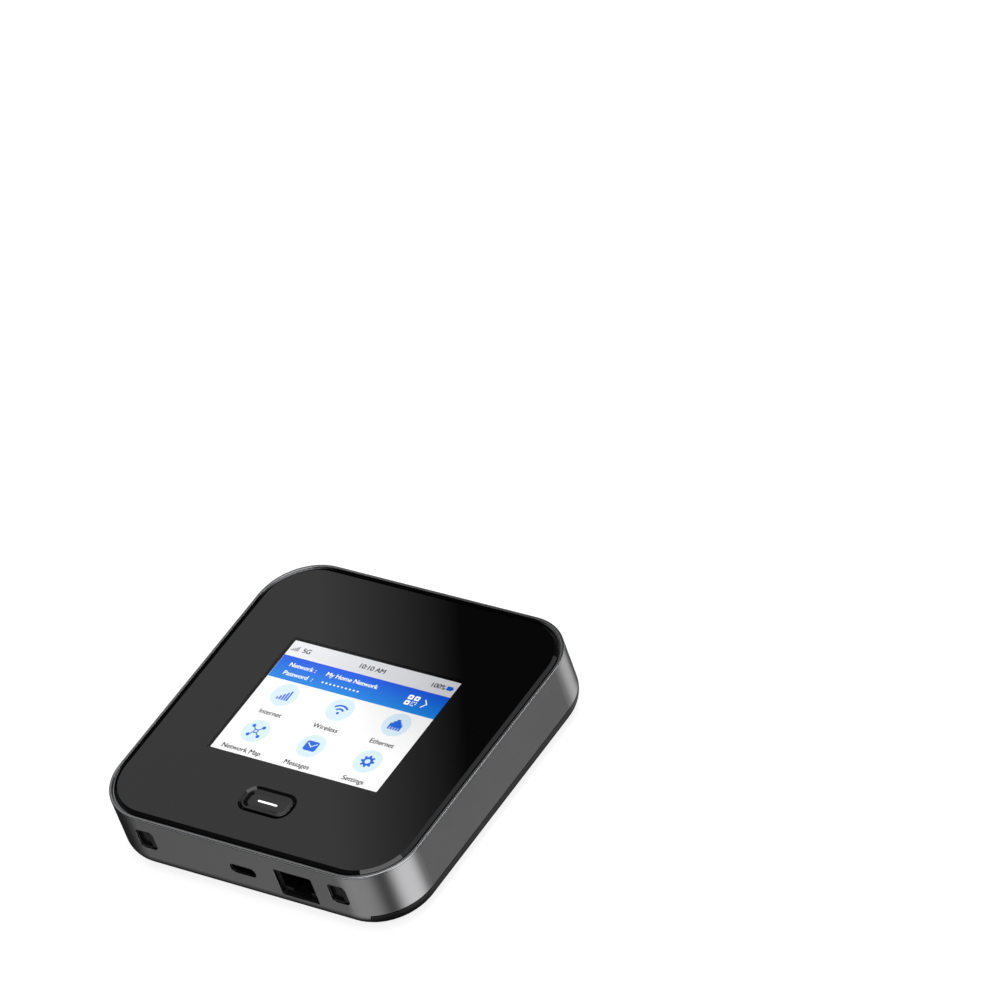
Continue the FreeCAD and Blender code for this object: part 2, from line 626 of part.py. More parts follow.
def build_usb():
    mouth = "body_width/2 - usb_recess"
    start = "%s - usb_length" % mouth
    inside = rounded("usb_width - 2*usb_sheet", "usb_height - 2*usb_sheet", "usb_height/2 - usb_sheet - 0.01",
                     "0", "usb_z")
    outside = rounded("usb_width", "usb_height", "usb_height/2 - 0.01", "0", "usb_z")
    shell = doc.addObject("PartDesign::Body", "usb_shell")
    add_pad(shell, [outside, inside], start, "usb_length", plane="XZ")
    doc.recompute()
    keep(shell, "usb_c_shell")
    core = doc.addObject("PartDesign::Body", "usb_core")
    add_pad(core, [rounded("usb_width - 2*usb_sheet - 0.1", "usb_height - 2*usb_sheet - 0.1",
                           "usb_height/2 - usb_sheet - 0.1", "0", "usb_z")], start, "1.4", plane="XZ")
    doc.recompute()
    add_pad(core, [rounded("6.7", "0.7", "0.2", "0", "usb_z")], "%s + 1.3" % start, "5", plane="XZ")
    doc.recompute()
    keep(core, "usb_c_tongue")
    pads = []
    for row, lift in (("top", "0.4"), ("under", "0 - 0.44")):
        for number in range(8):
            across = "%g" % (-2.45 + 0.7 * number)
            pads.append(block("usb_pad_%s_%d" % (row, number), "0.3", "3.4", "0.04", across,
                              "0 - (%s) - 4.1" % start, "usb_z + (%s)" % lift))
    keep(compound("usb_pads", pads), "usb_c_contacts")


def build_jack():
    mouth = "body_width/2 - wall - 0.05"
    start = "%s - jack_length" % mouth
    body = doc.addObject("PartDesign::Body", "jack")
    add_pad(body, [rounded("jack_width", "jack_height", "0.3", "jack_x", "jack_z")], start,
            "jack_length", plane="XZ")
    doc.recompute()
    plug_z = "jack_z + latch_height/2"
    add_pocket(body, [rounded("plug_width", "plug_height", "0.2", "jack_x", plug_z)], mouth,
               "plug_depth", plane="XZ")
    add_pocket(body, [rounded("latch_width", "latch_height + 0.6", "0.2", "jack_x",
                              "%s - plug_height/2 - latch_height/2 + 0.3" % plug_z)], mouth,
               "plug_depth - 2", plane="XZ")
    keep(body, "ethernet_jack")
    wires = []
    for number in range(8):
        across = "jack_x + %g" % (-3.57 + 1.02 * number)
        top = "%s + plug_height/2" % plug_z
        flat = block("wire_flat_%d" % number, "0.4", "8.6", "0.4", across, "0 - (%s) + 6.2" % mouth,
                     "%s - 0.45" % top)
        drop = doc.addObject("Part::Box", "wire_drop_%d" % number)
        bind(drop, "Length", "0.4")
        bind(drop, "Width", "5.5")
        bind(drop, "Height", "0.4")
        drop.Placement.Rotation = Rotation(Vector(1, 0, 0), -22)
        place(drop, "(%s) - 0.2" % across, "0 - (%s) + 2" % mouth, "%s - 0.45" % top)
        wires.append(fuse("wire_%d" % number, [flat, drop]))
    keep(compound("wires", wires), "ethernet_contacts")
    sheet_out = rounded("jack_width + 2*jack_sheet + 0.1", "jack_height + 2*jack_sheet + 0.1", "0.4",
                        "jack_x", "jack_z")
    sheet_in = rounded("jack_width + 0.1", "jack_height + 0.1", "0.3", "jack_x", "jack_z")
    wrap = doc.addObject("PartDesign::Body", "jack_wrap")
    add_pad(wrap, [sheet_out, sheet_in], start, "jack_length - 2.4", plane="XZ")
    doc.recompute()
    keep(wrap, "ethernet_shield")


def build_door(side, sign):
    """A leaf with a raised rim round a sunk panel, and the hinge barrel along its +X edge."""
    centre = sign + "door_x"
    width = "(door_opening_width - 2*door_gap)"
    height = "(door_opening_height - 2*door_gap)"
    foot = "door_z - %s/2" % height
    face = "(body_width/2 - door_recess)"
    corner = "door_corner - door_gap"
    outline = front_window("door_outline_" + side, width, height, corner, centre, "door_z",
                           "%s - door_thickness - 1" % face, "door_thickness + 2")
    plate = block("door_plate_" + side, width + " - door_barrel", "door_thickness", height,
                  centre + " - door_barrel/2", "door_thickness/2 - %s" % face, foot)
    barrel = rod("door_barrel_" + side, "door_barrel", height, hinge_x(sign), HINGE_Y, foot)
    leaf = common("door_leaf_" + side, fuse("door_blank_" + side, [plate, barrel]), outline)
    panel = front_window("door_panel_" + side, width + " - door_rim - 2*door_barrel",
                         height + " - 2*door_rim", corner + " - door_rim",
                         centre + " + door_rim/2 - door_barrel", "door_z", face + " - door_pocket", "3")
    bore = rod("door_bore_" + side, "pin_bore", "pin_length", hinge_x(sign), HINGE_Y,
               "door_z - pin_length/2")
    cutters = [panel, bore]
    # the outer corners beside the barrel are cut back, so that the open door clears the round corners
    # of its opening
    for number, base in enumerate(("door_z + door_neck", "door_z - door_neck - 2")):
        cutters.append(block("door_relief_%s_%d" % (side, number), "2.5*door_barrel", "2*door_relief", "2",
                             "%s - door_barrel/4" % hinge_x(sign), "0 - %s" % face, base))
    if side == "right":
        cutters.append(block("door_nail", "nail_width", "2*nail_height", "nail_height",
                             "%s - %s/2" % (centre, width), "0 - %s" % face, foot + " + door_corner/2"))
    keep(cut("door_cut_" + side, leaf, *cutters), "antenna_door_" + side)
    keep(rod("pin_" + side, "pin_radius", "pin_length - 0.2", hinge_x(sign), HINGE_Y,
             "door_z - pin_length/2 + 0.1"), "antenna_door_pin_" + side)


def build_antenna_port(side, sign):
    build_door(side, sign)
    centre = sign + "door_x"
    barrel = rod("socket_barrel_" + side, "socket_radius", "socket_length", centre, "socket_face",
                 "door_z", "Y")
    foot = block("socket_base_" + side, "6", "4", "5.6", centre, "socket_face + 4.9", "door_z - 2.8")
    mouth = rod("socket_mouth_" + side, "socket_bore", "socket_depth + 0.5", centre,
                "socket_face - 0.5", "door_z", "Y")
    seat = rod("socket_seat_" + side, "bush_bore", "socket_depth + bush_length + 0.1", centre,
               "socket_face", "door_z", "Y")
    tube = cut("socket_tube_" + side, fuse("socket_body_" + side, [barrel, foot]), mouth, seat)
    keep(tube, "antenna_socket_" + side)
    bush = cut("bush_" + side,
               rod("bush_disc_" + side, "bush_bore - 0.05", "bush_length", centre,
                   "socket_face + socket_depth", "door_z", "Y"),
               rod("bush_hole_" + side, "contact_bore", "2*bush_length", centre,
                   "socket_face + socket_depth - bush_length/2", "door_z", "Y"))
    keep(bush, "antenna_insulator_" + side)


# ---- boards ------------------------------------------------------------------------------------------

def build_board():
    depth = "board_back - board_front"
    middle = "(board_back + board_front)/2"
    plate = padded("board_plate", [rounded("2*board_half", depth, "3", "0", middle)], "board_bottom",
                   "board_thickness")
    gaps = [block("board_jack_gap", "jack_width + 2*jack_sheet + 0.8", "16", "4", "jack_x",
                  "0 - body_width/2 + wall + jack_length - 7.6", "board_bottom - 1")]
    for side, sign in DOOR_SIDES:
        gaps.append(block("board_socket_gap_" + side, "6.6", "10", "4", sign + "door_x",
                          "socket_face + 2.6", "board_bottom - 1"))
    for number, (x, y) in enumerate(BOSSES):
        gaps.append(rod("board_hole_%d" % number, "board_hole", "4", x, y, "board_bottom - 1"))
    keep(cut("board_cut", plate, *gaps), "main_board")


def shield_can(name, label, width, depth, x, y, base, upward=True):
    """A drawn metal can with an open side towards the board."""
    body = doc.addObject("PartDesign::Body", name)
    add_pad(body, [rounded(width, depth, "1", x, y)], base, "can_height")
    doc.recompute()
    inner = rounded("(%s) - 2*can_sheet" % width, "(%s) - 2*can_sheet" % depth, "0.8", x, y)
    deep = "can_height - can_sheet"
    if upward:
        add_pocket(body, [inner], "(%s) + can_height - can_sheet" % base, deep)
    else:
        add_pocket(body, [inner], "(%s) + can_height" % base, deep)
    return keep(body, label)


def chip_row(name, label, spots, base, height="chip_height"):
    """Packages of the given width, depth and place, on one side of the board."""
    items = [block("%s_%d" % (name, number), w, d, height, x, y, base)
             for number, (w, d, x, y) in enumerate(spots)]
    return keep(compound(name, items), label)


def build_electronics():
    above = "board_bottom + board_thickness + film_gap"
    below = "board_bottom - film_gap"
    shield_can("can_modem", "modem_shield", "34", "30", "-20", "8", above)
    shield_can("can_radio", "radio_shield", "30", "24", "20", "12", above)
    shield_can("can_wifi", "wireless_shield", "22", "16", "20", "-14", above)
    shield_can("can_power", "power_shield", "40", "18", "-14", "-14", "%s - can_height" % below, False)
    chip_row("chips_top", "modem_chips", [("14", "14", "-26", "10"), ("10", "12", "-10", "8"),
                                          ("9", "9", "14", "14"), ("7", "7", "27", "9"),
                                          ("8", "8", "20", "-14")], above)
    chip_row("chips_under", "power_chips", [("7", "7", "-24", "-14"), ("5", "6", "-12", "-12"),
                                            ("4", "4", "-3", "-16")], "%s - chip_height" % below)
    chip_row("filters", "antenna_filters", [("2.4", "1.8", "-38", "-30"), ("2.4", "1.8", "-38", "-26"),
                                            ("2.4", "1.8", "38", "-30"), ("2.4", "1.8", "38", "-26"),
                                            ("2.4", "1.8", "0", "38"), ("2.4", "1.8", "6", "38")],
             above, "0.8")
    pad_bottom = "spreader_bottom + spreader_thickness + film_gap"
    keep(block("pad", "26", "16", "%s - can_height - film_gap - (%s)" % (below, pad_bottom), "-14", "-14",
               pad_bottom), "thermal_pad")
    keep(padded("spreader", [rounded("74", "52", "3", "0", "6")], "spreader_bottom",
                "spreader_thickness"), "heat_spreader")


def build_battery():
    top = "battery_bottom + battery_thickness"
    pack = padded("pack", [rounded("battery_width", "battery_depth", "battery_corner", "0",
                                   "battery_shift")], "battery_bottom", "battery_thickness")
    low, high = size("battery_bottom"), size(top)
    dress(pack, "Fillet", "Radius", "0.8", (low - 0.01, low + 0.01))
    pocket = block("pack_terminal_pocket", "11", "1.6", "6", "20",
                   "battery_shift - battery_depth/2", "3.6")
    keep(cut("pack_cut", pack, pocket), "battery")
    face = "battery_shift - battery_depth/2 + 0.8"
    pads = [block("battery_pad_%d" % number, "1.6", "0.2", "2.6", "20 + %g" % (-3.6 + 2.4 * number),
                  "(%s) - 0.12" % face, "4") for number in range(4)]
    keep(compound("battery_pads", pads), "battery_contacts")
    label = padded("label", [rounded("battery_width - 8", "battery_depth - 8", "2", "0",
                                     "battery_shift")],
                   "battery_bottom - label_thickness - film_gap/2", "label_thickness")
    keep(label, "battery_label")
    wall_y = "battery_shift - battery_depth/2 - bay_clearance - bay_wall"
    keep(block("terminal", "12", "3.6", "3.4", "20", "%s - 0.75" % wall_y, "tub_bottom + tub_floor + 0.02"),
         "battery_terminal")
    blades = [block("blade_%d" % number, "1", "1.16", "1.6", "20 + %g" % (-3.6 + 2.4 * number),
                    "%s + 1.64" % wall_y, "4.9") for number in range(4)]
    keep(compound("blades", blades), "battery_springs")


def build_antennas():
    half = "frame_width/2 - frame_wall - 0.25"
    for side, sign in (("left", "-1"), ("right", "1")):
        x = "%s*(%s - carrier_width/2)" % (sign, half)
        keep(block("carrier_" + side, "carrier_width", "carrier_length - 12", "carrier_height", x, "5",
                   "carrier_bottom"), "antenna_carrier_" + side)
        keep(block("foil_" + side, "carrier_width - 0.4", "carrier_length - 14", "foil_thickness", x, "5",
                   "carrier_bottom + carrier_height + film_gap"), "antenna_foil_" + side)
    y = "%s - carrier_width/2" % half
    keep(block("carrier_back", "30", "carrier_width - 0.6", "carrier_height", "0", "(%s) + 0.2" % y,
               "carrier_bottom"), "antenna_carrier_back")
    keep(block("foil_back", "29", "carrier_width - 1.2", "foil_thickness", "0", "(%s) + 0.2" % y,
               "carrier_bottom + carrier_height + film_gap"), "antenna_foil_back")


def build_sim():
    cage_top = "tub_bottom - film_gap"
    outer = block("cage_outer", "sim_length + 1.2", "sim_width + 1.6", "%s - (sim_bottom - 0.3)" % cage_top,
                  "sim_x - 0.6", "sim_y", "sim_bottom - 0.3")
    slot = block("cage_slot", "sim_length + 2", "sim_width + 0.3", "sim_thickness + 0.2", "sim_x + 0.4",
                 "sim_y", "sim_bottom - 0.1")
    window = block("cage_window", "5", "5", "1", "sim_x + 3", "sim_y", "sim_bottom - 0.8")
    keep(cut("cage", outer, slot, window), "sim_socket")
    card = doc.addObject("PartDesign::Body", "card")
    half_l, half_w = "sim_length/2", "sim_width/2"
    outline = [("sim_x - " + half_l, "sim_y - " + half_w), ("sim_x + " + half_l, "sim_y - " + half_w),
               ("sim_x + " + half_l, "sim_y + " + half_w), ("sim_x - %s + 1.65" % half_l, "sim_y + " + half_w),
               ("sim_x - " + half_l, "sim_y + %s - 1.65" % half_w)]
    add_pad(card, [(polygon_loop, dict(points=outline))], "sim_bottom", "sim_thickness")
    doc.recompute()
    keep(card, "sim_card")
    switch = fuse("reset_body", [block("reset_case", "3.4", "3.4", "1.4", "-12", "-40",
                                       "tub_bottom + tub_floor + 0.4"),
                                 rod("reset_plunger", "0.5", "0.5", "-12", "-40",
                                     "tub_bottom + tub_floor")])
    keep(switch, "reset_switch")


def build_screws():
    screws = []
    for number, (x, y) in enumerate(BOSSES):
        top = "deck_bottom + 0.38"
        head = cut("screw_head_cut_%d" % number,
                   rod("screw_head_%d" % number, "screw_head", "screw_head_height", x, y,
                       "%s - screw_head_height" % top),
                   block("screw_slot_a_%d" % number, "1.6", "0.35", "0.8", x, y,
                         "%s - screw_head_height - 0.4" % top),
                   block("screw_slot_b_%d" % number, "0.35", "1.6", "0.8", x, y,
                         "%s - screw_head_height - 0.4" % top))
        shank = rod("screw_shank_%d" % number, "screw_radius", "screw_length", x, y, "%s - 0.1" % top)
        screws.append(fuse("screw_%d" % number, [head, shank]))
    keep(compound("screws", screws), "housing_screws")


build_band()
build_cover()
build_bezel()
build_lens_stack()
build_display()
build_front_frame()
build_back_housing()
build_button()
build_usb()
build_jack()
for side, sign in DOOR_SIDES:
    build_antenna_port(side, sign)
build_board()
build_electronics()
build_battery()
build_antennas()
build_sim()
build_screws()
doc.recompute()

# ---- check and write ---------------------------------------------------------------------------------

for item in doc.Objects:
    if "Invalid" in item.State or "Error" in item.State:
        raise RuntimeError("%s did not build: %s" % (item.Label, item.State))
os.makedirs("parts", exist_ok=True)
for item in subparts:
    shape = item.Shape
    if shape.isNull() or not shape.isValid() or not shape.Solids:
        raise RuntimeError("%s has no valid solid" % item.Label)
    shape.exportStep("parts/%s.step" % item.Label)
    box = shape.BoundBox
    print("%-24s solids %d  volume %9.1f  x %.2f..%.2f y %.2f..%.2f z %.2f..%.2f" % (
        item.Label, len(shape.Solids), shape.Volume, box.XMin, box.XMax, box.YMin, box.YMax,
        box.ZMin, box.ZMax))
print(len(subparts), "sub-parts")
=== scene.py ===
import json
import math

import bmesh
import bpy
from mathutils import Matrix, Vector


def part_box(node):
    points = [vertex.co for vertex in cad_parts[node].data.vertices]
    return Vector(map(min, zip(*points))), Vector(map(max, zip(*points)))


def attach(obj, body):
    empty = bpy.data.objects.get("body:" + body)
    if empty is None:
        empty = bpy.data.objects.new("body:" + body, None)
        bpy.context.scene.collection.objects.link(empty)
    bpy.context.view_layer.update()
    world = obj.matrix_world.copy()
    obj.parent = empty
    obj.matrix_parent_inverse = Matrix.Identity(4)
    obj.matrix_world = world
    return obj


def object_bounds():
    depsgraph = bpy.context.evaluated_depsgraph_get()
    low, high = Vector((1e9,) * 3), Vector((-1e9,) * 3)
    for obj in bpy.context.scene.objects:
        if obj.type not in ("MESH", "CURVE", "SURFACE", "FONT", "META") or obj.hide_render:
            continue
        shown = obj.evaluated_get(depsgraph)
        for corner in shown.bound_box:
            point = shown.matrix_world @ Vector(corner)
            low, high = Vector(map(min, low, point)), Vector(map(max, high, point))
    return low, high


# Looks of a pocket 5G hotspot, in metres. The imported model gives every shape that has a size. This script
# gives it materials, a lit screen, a plain floor, soft lights and the camera.

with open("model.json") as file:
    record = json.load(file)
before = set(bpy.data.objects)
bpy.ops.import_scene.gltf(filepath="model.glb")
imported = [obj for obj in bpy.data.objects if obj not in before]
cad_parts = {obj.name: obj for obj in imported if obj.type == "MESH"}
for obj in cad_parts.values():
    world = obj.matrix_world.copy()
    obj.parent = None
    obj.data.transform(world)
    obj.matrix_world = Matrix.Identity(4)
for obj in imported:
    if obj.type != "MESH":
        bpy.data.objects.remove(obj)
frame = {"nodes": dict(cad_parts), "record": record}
cad_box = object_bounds()
nodes = frame["nodes"]
scene = bpy.context.scene
MM = 0.001

# the screen: the display's face and the middle of its visible window
SCREEN_WIDTH, SCREEN_DEPTH = 58.6 * MM, 44.2 * MM
PANEL_LOW, PANEL_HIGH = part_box("lcd_panel")
SCREEN_CENTRE = Vector(((PANEL_LOW.x + PANEL_HIGH.x) / 2, (PANEL_LOW.y + PANEL_HIGH.y) / 2, PANEL_HIGH.z))

# display colours, sRGB 0 to 255
WHITE = (253, 253, 253)
STATUS_LEFT, STATUS_RIGHT = (240, 241, 244), (182, 183, 188)
BANNER_TOP, BANNER_FOOT = (0, 84, 226), (0, 138, 224)
CIRCLE_BLUE = (218, 238, 249)
ICON_BLUE = (0, 98, 218)
TEXT_BLACK = (14, 15, 18)
SIGNAL_GREY = (120, 122, 128)
DISPLAY_LIGHT = 1.03        # strength of the display's own light
DISPLAY_BODY = 0.2          # how much of a display colour also answers to outside light
DISPLAY_FADE = 34 * MM      # distance from the upper right corner at which the display is at full strength

PRINT_BLACK = (0.0027, 0.0027, 0.0028)
# painted shade: the bezel lip's inner edge is painted dark to stand for the shade in the seam next to the
# lens; this line parts the lip's bright outside from that painted shade
BODY_HALF = cad_box[1].x
SEAM_SHADE_CORNER = 18.7 * MM     # a little rounder than the body, so that the painted seam shade fades out at the corners and the lip stays bright there
SEAM_SHADE_FULL, SEAM_SHADE_END = 1.0 * MM, 0.6 * MM     # in from the body's side
CLEAR_MARGIN = 0.6 * MM     # how far the clear glass reaches past the display


# ---- materials ---------------------------------------------------------------------------------------

def linear(value):
    """An sRGB value of 0 to 255 as linear light."""
    v = value / 255
    return v / 12.92 if v <= 0.04045 else ((v + 0.055) / 1.055) ** 2.4


def colour(rgb):
    return tuple(linear(v) for v in rgb) + (1.0,)


class Shader:
    """A Principled material with the few nodes that its surface needs."""

    def __init__(self, name, base, **sockets):
        self.material = bpy.data.materials.new(name)
        self.material.use_nodes = True
        self.tree = self.material.node_tree
        self.bsdf = self.tree.nodes["Principled BSDF"]
        self.set("Base Color", base)
        for socket, value in sockets.items():
            self.set(socket.replace("_", " ").title().replace("Ior", "IOR"), value)

    def set(self, socket, value):
        if isinstance(value, tuple) and len(value) == 3:
            value = value + (1.0,)
        self.bsdf.inputs[socket].default_value = value

    def node(self, kind, **inputs):
        made = self.tree.nodes.new(kind)
        for name, value in inputs.items():
            made.inputs[name.replace("_", " ")].default_value = value
        return made

    def link(self, source, target):
        self.tree.links.new(source, target)

    def place(self, scale=(1, 1, 1)):
        """The point on the object in metres, stretched by scale."""
        where = self.node("ShaderNodeTexCoord")
        stretch = self.node("ShaderNodeMapping")
        stretch.inputs["Scale"].default_value = scale
        self.link(where.outputs["Object"], stretch.inputs["Vector"])
        return stretch.outputs["Vector"]

    def noise(self, size, scale=(1, 1, 1), detail=4, rough=0.55):
        """Noise whose grains measure about size metres."""
        made = self.node("ShaderNodeTexNoise", Scale=1 / size, Detail=detail, Roughness=rough)
        self.link(self.place(scale), made.inputs["Vector"])
        return made.outputs["Fac"]

    def ramp(self, source, low, high, start=0.3, end=0.7):
        """A colour or number that goes from low to high as the source goes from start to end."""
        made = self.node("ShaderNodeMapRange")
        if isinstance(low, tuple):
            made.data_type = "FLOAT_VECTOR"
            names = ["From_Min_FLOAT3", "From_Max_FLOAT3", "To_Min_FLOAT3", "To_Max_FLOAT3"]
            for name, value in zip(names, [(start,) * 3, (end,) * 3, low[:3], high[:3]]):
                next(s for s in made.inputs if s.identifier == name).default_value = value
            self.link(source, next(s for s in made.inputs if s.identifier == "Vector"))
            return next(s for s in made.outputs if s.identifier == "Vector")
        for name, value in zip(["From Min", "From Max", "To Min", "To Max"], [start, end, low, high]):
            made.inputs[name].default_value = value
        self.link(source, made.inputs["Value"])
        return made.outputs["Result"]

    def bump(self, height, depth, edge=0.0):
        """Bump of the given depth in metres. edge rounds the look of sharp edges by that radius."""
        made = self.node("ShaderNodeBump", Strength=1.0, Distance=depth)
        self.link(height, made.inputs["Height"])
        if edge:
            self.link(self.round_edges(edge), made.inputs["Normal"])
        self.link(made.outputs["Normal"], self.bsdf.inputs["Normal"])

    def round_edges(self, radius):
        made = self.node("ShaderNodeBevel", Radius=radius)
        made.samples = 6
        return made.outputs["Normal"]


def moulded(name, base, roughness, grain=0.00022, depth=0.00001, gloss=0.5):
    """Spark-eroded plastic: a fine even grain, with slight changes of shade and gloss."""
    spread, edge = 0.25, 0.00012
    made = Shader(name, base, roughness=roughness, specular_ior_level=gloss)
    fine = made.noise(grain, detail=3)
    wide = made.noise(0.012, detail=5)
    dark = tuple(v * (1 - spread) for v in base)
    light = tuple(v * (1 + spread) for v in base)
    made.link(made.ramp(wide, dark, light), made.bsdf.inputs["Base Color"])
    made.link(made.ramp(fine, roughness - 0.06, roughness + 0.08), made.bsdf.inputs["Roughness"])
    made.bump(fine, depth, edge=edge)
    return made.material


def metal(name, base, roughness, brush=(1, 1, 1)):
    """Metal with a directional grain: brush stretches the grain along the axes with small numbers."""
    made = Shader(name, base, roughness=roughness, metallic=1.0)
    streaks = made.noise(0.0004, scale=brush, detail=6, rough=0.65)
    wide = made.noise(0.02, detail=4)
    made.link(made.ramp(wide, tuple(v * 0.93 for v in base), tuple(v * 1.06 for v in base)),
              made.bsdf.inputs["Base Color"])
    made.link(made.ramp(streaks, roughness - 0.05, roughness + 0.06), made.bsdf.inputs["Roughness"])
    made.bump(streaks, 0.000004, edge=0.00008)
    return made.material


def band_metal():
    """Dark satin paint over metal: a soft wide sheen with very fine flakes."""
    base = (0.2, 0.2, 0.203)
    made = Shader("band_metal", base, metallic=1.0, roughness=0.3)
    flakes = made.noise(0.00016, detail=2)
    wide = made.noise(0.018, detail=4)
    made.link(made.ramp(wide, tuple(v * 0.96 for v in base), tuple(v * 1.04 for v in base)),
              made.bsdf.inputs["Base Color"])
    made.link(made.ramp(flakes, 0.27, 0.33), made.bsdf.inputs["Roughness"])
    made.bump(flakes, 0.0000016, edge=0.00016)
    return made.material


def lip_metal_with_seam_shade():
    """Satin metal around the lens. Its inner edge is painted dark, a painted shade that makes the gap next to
    it read as a shaded seam.
    """
    bright, dark = (0.38, 0.385, 0.395), (0.012, 0.012, 0.013)
    made = Shader("bezel_metal", bright, metallic=1.0, roughness=0.24)
    straight = BODY_HALF - SEAM_SHADE_CORNER
    steps = (("ABSOLUTE", None), ("SUBTRACT", (straight, straight, 1.0)), ("MAXIMUM", (0.0, 0.0, 0.0)))
    here = made.place()
    for operation, value in steps:
        step = made.node("ShaderNodeVectorMath")
        step.operation = operation
        made.link(here, step.inputs[0])
        if value:
            step.inputs[1].default_value = value
        here = step.outputs["Vector"]
    reach = made.node("ShaderNodeVectorMath")
    reach.operation = "LENGTH"
    made.link(here, reach.inputs[0])
    # painted shade: the base colour goes near black towards the lens, standing for the shade in the seam
    made.link(made.ramp(reach.outputs["Value"], dark, bright, SEAM_SHADE_CORNER - SEAM_SHADE_FULL,
                        SEAM_SHADE_CORNER - SEAM_SHADE_END), made.bsdf.inputs["Base Color"])
    streaks = made.noise(0.0004, detail=6, rough=0.65)
    made.link(made.ramp(streaks, 0.2, 0.3), made.bsdf.inputs["Roughness"])
    made.bump(streaks, 0.000002, edge=0.0001)
    return made.material


def lens_glass():
    """Glass that is clear over the display and black like its printed back everywhere else."""
    made = Shader("lens_glass", PRINT_BLACK, roughness=0.0, ior=1.5, specular_ior_level=1.0)
    from_middle = made.node("ShaderNodeVectorMath")
    from_middle.operation = "SUBTRACT"
    made.link(made.place(), from_middle.inputs[0])
    from_middle.inputs[1].default_value = SCREEN_CENTRE
    split = made.node("ShaderNodeSeparateXYZ")
    made.link(from_middle.outputs["Vector"], split.inputs["Vector"])
    inside = []
    for axis, size in (("X", SCREEN_WIDTH), ("Y", SCREEN_DEPTH)):
        test = made.node("ShaderNodeMath")
        test.operation = "COMPARE"
        made.link(split.outputs[axis], test.inputs[0])
        test.inputs[1].default_value = 0.0
        test.inputs[2].default_value = size / 2 + CLEAR_MARGIN
        inside.append(test.outputs["Value"])
    clear = made.node("ShaderNodeMath")
    clear.operation = "MULTIPLY"
    for held, socket in zip(inside, clear.inputs):
        made.link(held, socket)
    made.link(clear.outputs["Value"], made.bsdf.inputs["Transmission Weight"])
    made.link(made.ramp(clear.outputs["Value"], PRINT_BLACK, (1.0, 1.0, 1.0), 0.0, 1.0),
              made.bsdf.inputs["Base Color"])
    smear = made.noise(0.03, detail=5)
    made.link(made.ramp(smear, 0.0, 0.02, 0.5, 0.8), made.bsdf.inputs["Roughness"])
    return made.material


def black_print():
    made = Shader("black_print", PRINT_BLACK, roughness=0.6, specular_ior_level=0.0)
    speck = made.noise(0.0005, detail=2)
    made.link(made.ramp(speck, 0.55, 0.65), made.bsdf.inputs["Roughness"])
    return made.material


def glow(name, rgb, foot=None, side=None, shade=True):
    """A lit display colour. foot is the colour at the lower edge and side the one at the right edge.
    shade dims it towards the upper right corner, as a panel lit from its lower left edge does."""
    base = tuple(DISPLAY_BODY * v for v in colour(rgb)[:3])
    made = Shader(name, base, roughness=0.6, specular_ior_level=0.0, emission_strength=DISPLAY_LIGHT)
    made.set("Emission Color", colour(rgb))
    if shade:
        corner = made.node("ShaderNodeVectorMath")
        corner.operation = "DISTANCE"
        made.link(made.place(), corner.inputs[0])
        corner.inputs[1].default_value = SCREEN_CENTRE + Vector((SCREEN_WIDTH, SCREEN_DEPTH, 0)) / 2
        strength = made.ramp(corner.outputs["Value"], DISPLAY_LIGHT * 0.6, DISPLAY_LIGHT, 0.0, DISPLAY_FADE)
        made.link(strength, made.bsdf.inputs["Emission Strength"])
    if foot or side:
        where = made.node("ShaderNodeTexCoord")
        split = made.node("ShaderNodeSeparateXYZ")
        made.link(where.outputs["Generated"], split.inputs["Vector"])
        axis = split.outputs["Y"] if foot else split.outputs["X"]
        low, high = (foot, rgb) if foot else (rgb, side)
        made.link(made.ramp(axis, colour(low)[:3], colour(high)[:3], 0.0, 1.0),
                  made.bsdf.inputs["Emission Color"])
    return made.material


def gloss_black(name, roughness, edge, gloss):
    made = Shader(name, (0.006, 0.006, 0.006), roughness=roughness, specular_ior_level=gloss)
    haze = made.noise(0.006, detail=5)
    made.link(made.ramp(haze, roughness * 0.8, roughness * 1.3), made.bsdf.inputs["Roughness"])
    made.bump(haze, 0.000002, edge=edge)
    return made.material


def circuit_board():
    """Green solder mask with copper pours and fine parallel tracks under it."""
    made = Shader("board_green", (0.006, 0.07, 0.035), roughness=0.28, coat_weight=0.4,
                  coat_roughness=0.15)
    pours = made.noise(0.009, detail=1, rough=0.3)
    wave = made.node("ShaderNodeTexWave", Scale=1 / 0.0022, Distortion=2.5, Detail=1.0)
    made.link(made.place((1, 0.6, 1)), wave.inputs["Vector"])
    mask = made.node("ShaderNodeMath")
    mask.operation = "MULTIPLY"
    made.link(made.ramp(pours, 0.0, 1.0, 0.5, 0.53), mask.inputs[0])
    made.link(made.ramp(wave.outputs["Fac"], 0.0, 1.0, 0.55, 0.62), mask.inputs[1])
    made.link(made.ramp(mask.outputs[0], (0.006, 0.07, 0.035), (0.02, 0.16, 0.07), 0.0, 1.0),
              made.bsdf.inputs["Base Color"])
    made.bump(mask.outputs[0], 0.00002)
    return made.material


def paper_label():
    made = Shader("label_paper", (0.6, 0.61, 0.62), roughness=0.5)
    fibre = made.noise(0.0006, detail=6)
    made.link(made.ramp(fibre, (0.55, 0.56, 0.57), (0.64, 0.65, 0.66)), made.bsdf.inputs["Base Color"])
    made.bump(fibre, 0.000012)
    return made.material


def flex_film():
    made = Shader("flex", (0.42, 0.16, 0.025), roughness=0.3, coat_weight=0.5, coat_roughness=0.2)
    tracks = made.node("ShaderNodeTexWave", Scale=1 / 0.0016)
    tracks.bands_direction = "X"
    made.link(made.place(), tracks.inputs["Vector"])
    made.link(made.ramp(tracks.outputs["Fac"], (0.33, 0.12, 0.02), (0.52, 0.24, 0.05), 0.4, 0.6),
              made.bsdf.inputs["Base Color"])
    made.bump(tracks.outputs["Fac"], 0.00002)
    return made.material


